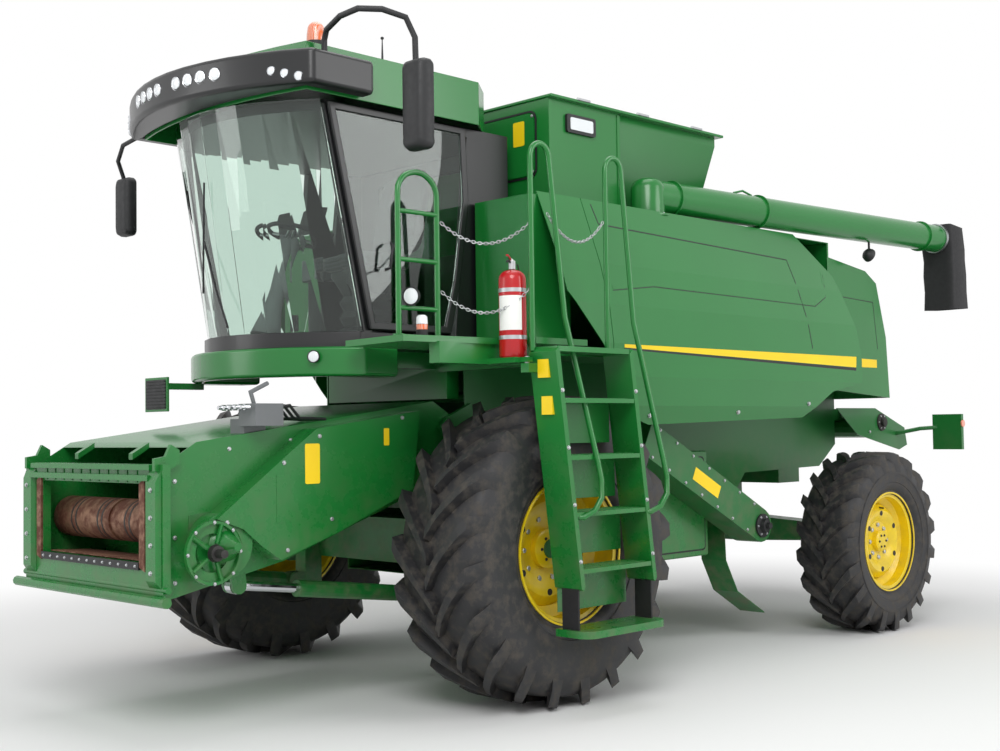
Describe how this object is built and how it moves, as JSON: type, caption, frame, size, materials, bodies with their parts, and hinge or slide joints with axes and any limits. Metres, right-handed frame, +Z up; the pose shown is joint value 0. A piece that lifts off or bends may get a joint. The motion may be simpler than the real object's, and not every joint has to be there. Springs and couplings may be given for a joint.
{
  "type": "combine harvester",
  "caption": "Combine harvester without its header, with a glazed cab, a closed grain tank, a folded unloading auger, a steered rear axle and a straw chopper.",
  "frame": {"origin": "bottom centre of the bounding box, on the ground", "axes": "+Z up, front of the machine at -Y, the machine's left side with the ladder at +X"},
  "size_m": [3.615, 7.3676, 3.9503],
  "materials": {
    "green": "gloss green enamel paint",
    "yellow": "gloss yellow enamel paint",
    "black": "satin black paint",
    "rubber": "matt black rubber",
    "tyre": "matt black tyre rubber",
    "glass": "slightly green tinted safety glass",
    "steel": "polished hard chrome",
    "red": "gloss red paint",
    "grey": "matt grey finish",
    "fabric": "dark woven seat cloth",
    "orange": "clear orange lens plastic",
    "brown": "worn, lightly rusted iron"
  },
  "bodies": {
    "machine": {"beacon": "orange", "cab_frame": "black", "cab_nose": "green", "cab_roof": "green", "cab_window_rear": "glass", "cab_window_right": "glass", "chaff_deflector": "green", "chassis": "green", "elevator_leg": "green", "engine": "grey", "fire_extinguisher": "red", "front_axle": "green", "grain_tank": "green", "light_visor": "black", "marker_board": "green", "mirror_left": "black", "mirror_right": "black", "operator_seat": "fabric", "platform": "green", "platform_rail": "green", "rear_axle": "green", "rear_hood": "green", "side_box": "green", "side_skirt_left": "green", "side_skirt_right": "green", "steering_column": "grey", "straw_chopper": "green", "upper_body": "green", "windscreen": "glass"},
    "wheel_front_left": {"tyre_front_left": "tyre", "rim_front_left": "yellow"},
    "wheel_front_right": {"tyre_front_right": "tyre", "rim_front_right": "yellow"},
    "wheel_rear_left": {"tyre_rear_left": "tyre", "rim_rear_left": "yellow"},
    "wheel_rear_right": {"tyre_rear_right": "tyre", "rim_rear_right": "yellow"},
    "steered_knuckle_left": {"knuckle_left": "green"},
    "steered_knuckle_right": {"knuckle_right": "green"},
    "track_rod": {"tie_rod": "green"},
    "feeder": {"feeder_house": "green", "feeder_shield": "green", "multicoupler": "grey"},
    "drum": {"feeder_drum": "brown"},
    "lift_barrel_body_left": {"lift_barrel_left": "green"},
    "lift_barrel_body_right": {"lift_barrel_right": "green"},
    "lift_rod_body_left": {"lift_rod_left": "steel"},
    "lift_rod_body_right": {"lift_rod_right": "steel"},
    "door": {"cab_door": "black", "cab_door_glass": "glass"},
    "auger": {"unloading_auger": "green", "auger_spout": "rubber"},
    "access_ladder": {"ladder": "green"},
    "lid_left": {"tank_lid_left": "green"},
    "lid_right": {"tank_lid_right": "green"},
    "panel_left": {"side_panel_left": "green"},
    "panel_right": {"side_panel_right": "green"}
  },
  "joints": [
    {"name": "wheel_front_left_spin", "type": "hinge", "parent": "machine", "child": "wheel_front_left", "pos_m": [1.1775, -1.49617, 0.88734], "axis": [1, 0, 0], "continuous": true},
    {"name": "wheel_front_right_spin", "type": "hinge", "parent": "machine", "child": "wheel_front_right", "pos_m": [-1.4825, -1.49617, 0.88734], "axis": [1, 0, 0], "continuous": true},
    {"name": "steer_left", "type": "hinge", "parent": "machine", "child": "steered_knuckle_left", "pos_m": [0.8875, 2.15383, 0.74], "axis": [0, 0, 1], "range_deg": [-35, 35]},
    {"name": "steer_right", "type": "hinge", "parent": "machine", "child": "steered_knuckle_right", "pos_m": [-1.1925, 2.15383, 0.74], "axis": [0, 0, 1], "range_deg": [-35, 35]},
    {"name": "track_rod_swing", "type": "hinge", "parent": "steered_knuckle_left", "child": "track_rod", "pos_m": [0.8875, 2.37383, 0.6807], "axis": [0, 0, 1], "range_deg": [-35, 35]},
    {"name": "wheel_rear_left_spin", "type": "hinge", "parent": "steered_knuckle_left", "child": "wheel_rear_left", "pos_m": [1.2375, 2.15383, 0.6841], "axis": [1, 0, 0], "continuous": true},
    {"name": "wheel_rear_right_spin", "type": "hinge", "parent": "steered_knuckle_right", "child": "wheel_rear_right", "pos_m": [-1.5425, 2.15383, 0.6841], "axis": [1, 0, 0], "continuous": true},
    {"name": "feeder_tilt", "type": "hinge", "parent": "machine", "child": "feeder", "pos_m": [-0.1525, -1.65617, 1.6], "axis": [1, 0, 0], "range_deg": [-2, 15]},
    {"name": "drum_spin", "type": "hinge", "parent": "feeder", "child": "drum", "pos_m": [-0.1525, -3.39617, 1.11], "axis": [1, 0, 0], "continuous": true},
    {"name": "lift_barrel_left_swing", "type": "hinge", "parent": "machine", "child": "lift_barrel_body_left", "pos_m": [0.4575, -1.85617, 0.6], "axis": [1, 0, 0], "range_deg": [-2.81, 17.86]},
    {"name": "lift_rod_left_stroke", "type": "slide", "parent": "lift_barrel_body_left", "child": "lift_rod_body_left", "axis": [0, -0.9915, 0.1298], "range_m": [-0.267, 0.0399]},
    {"name": "lift_barrel_right_swing", "type": "hinge", "parent": "machine", "child": "lift_barrel_body_right", "pos_m": [-0.7625, -1.85617, 0.6], "axis": [1, 0, 0], "range_deg": [-2.81, 17.86]},
    {"name": "lift_rod_right_stroke", "type": "slide", "parent": "lift_barrel_body_right", "child": "lift_rod_body_right", "axis": [0, -0.9915, 0.1298], "range_m": [-0.267, 0.0399]},
    {"name": "cab_door_swing", "type": "hinge", "parent": "machine", "child": "door", "pos_m": [0.6375, -2.29617, 2.16], "axis": [0, -0.2232, 0.9748], "range_deg": [-60, 0]},
    {"name": "auger_swing", "type": "hinge", "parent": "machine", "child": "auger", "pos_m": [0.9575, -0.13617, 3], "axis": [0, 0, 1], "range_deg": [-100, 0]},
    {"name": "ladder_swing", "type": "hinge", "parent": "machine", "child": "access_ladder", "pos_m": [1.5675, -1.97117, 1.975], "axis": [0, 0, 1], "range_deg": [-90, 0]},
    {"name": "tank_lid_left_swing", "type": "hinge", "parent": "machine", "child": "lid_left", "pos_m": [0.8875, -0.08617, 3.7203], "axis": [0, 1, 0], "range_deg": [0, 95]},
    {"name": "tank_lid_right_swing", "type": "hinge", "parent": "machine", "child": "lid_right", "pos_m": [-1.1925, -0.08617, 3.7203], "axis": [0, 1, 0], "range_deg": [-95, 0]},
    {"name": "side_panel_left_swing", "type": "hinge", "parent": "machine", "child": "panel_left", "pos_m": [1.0825, -1.49617, 3.02], "axis": [0, 1, 0], "range_deg": [-60, 0]},
    {"name": "side_panel_right_swing", "type": "hinge", "parent": "machine", "child": "panel_right", "pos_m": [-1.3875, -1.49617, 3.02], "axis": [0, 1, 0], "range_deg": [0, 60]}
  ],
  "couplings": [
    {"joint": "steer_right", "follows": "steer_left", "ratio": 1},
    {"joint": "track_rod_swing", "follows": "steer_left", "ratio": -1},
    {"joint": "lift_barrel_left_swing", "follows": "feeder_tilt", "ratio": 1.1574},
    {"joint": "lift_rod_left_stroke", "follows": "feeder_tilt", "m_per_rad": -1.0009},
    {"joint": "lift_barrel_right_swing", "follows": "feeder_tilt", "ratio": 1.1574},
    {"joint": "lift_rod_right_stroke", "follows": "feeder_tilt", "m_per_rad": -1.0009}
  ]
}
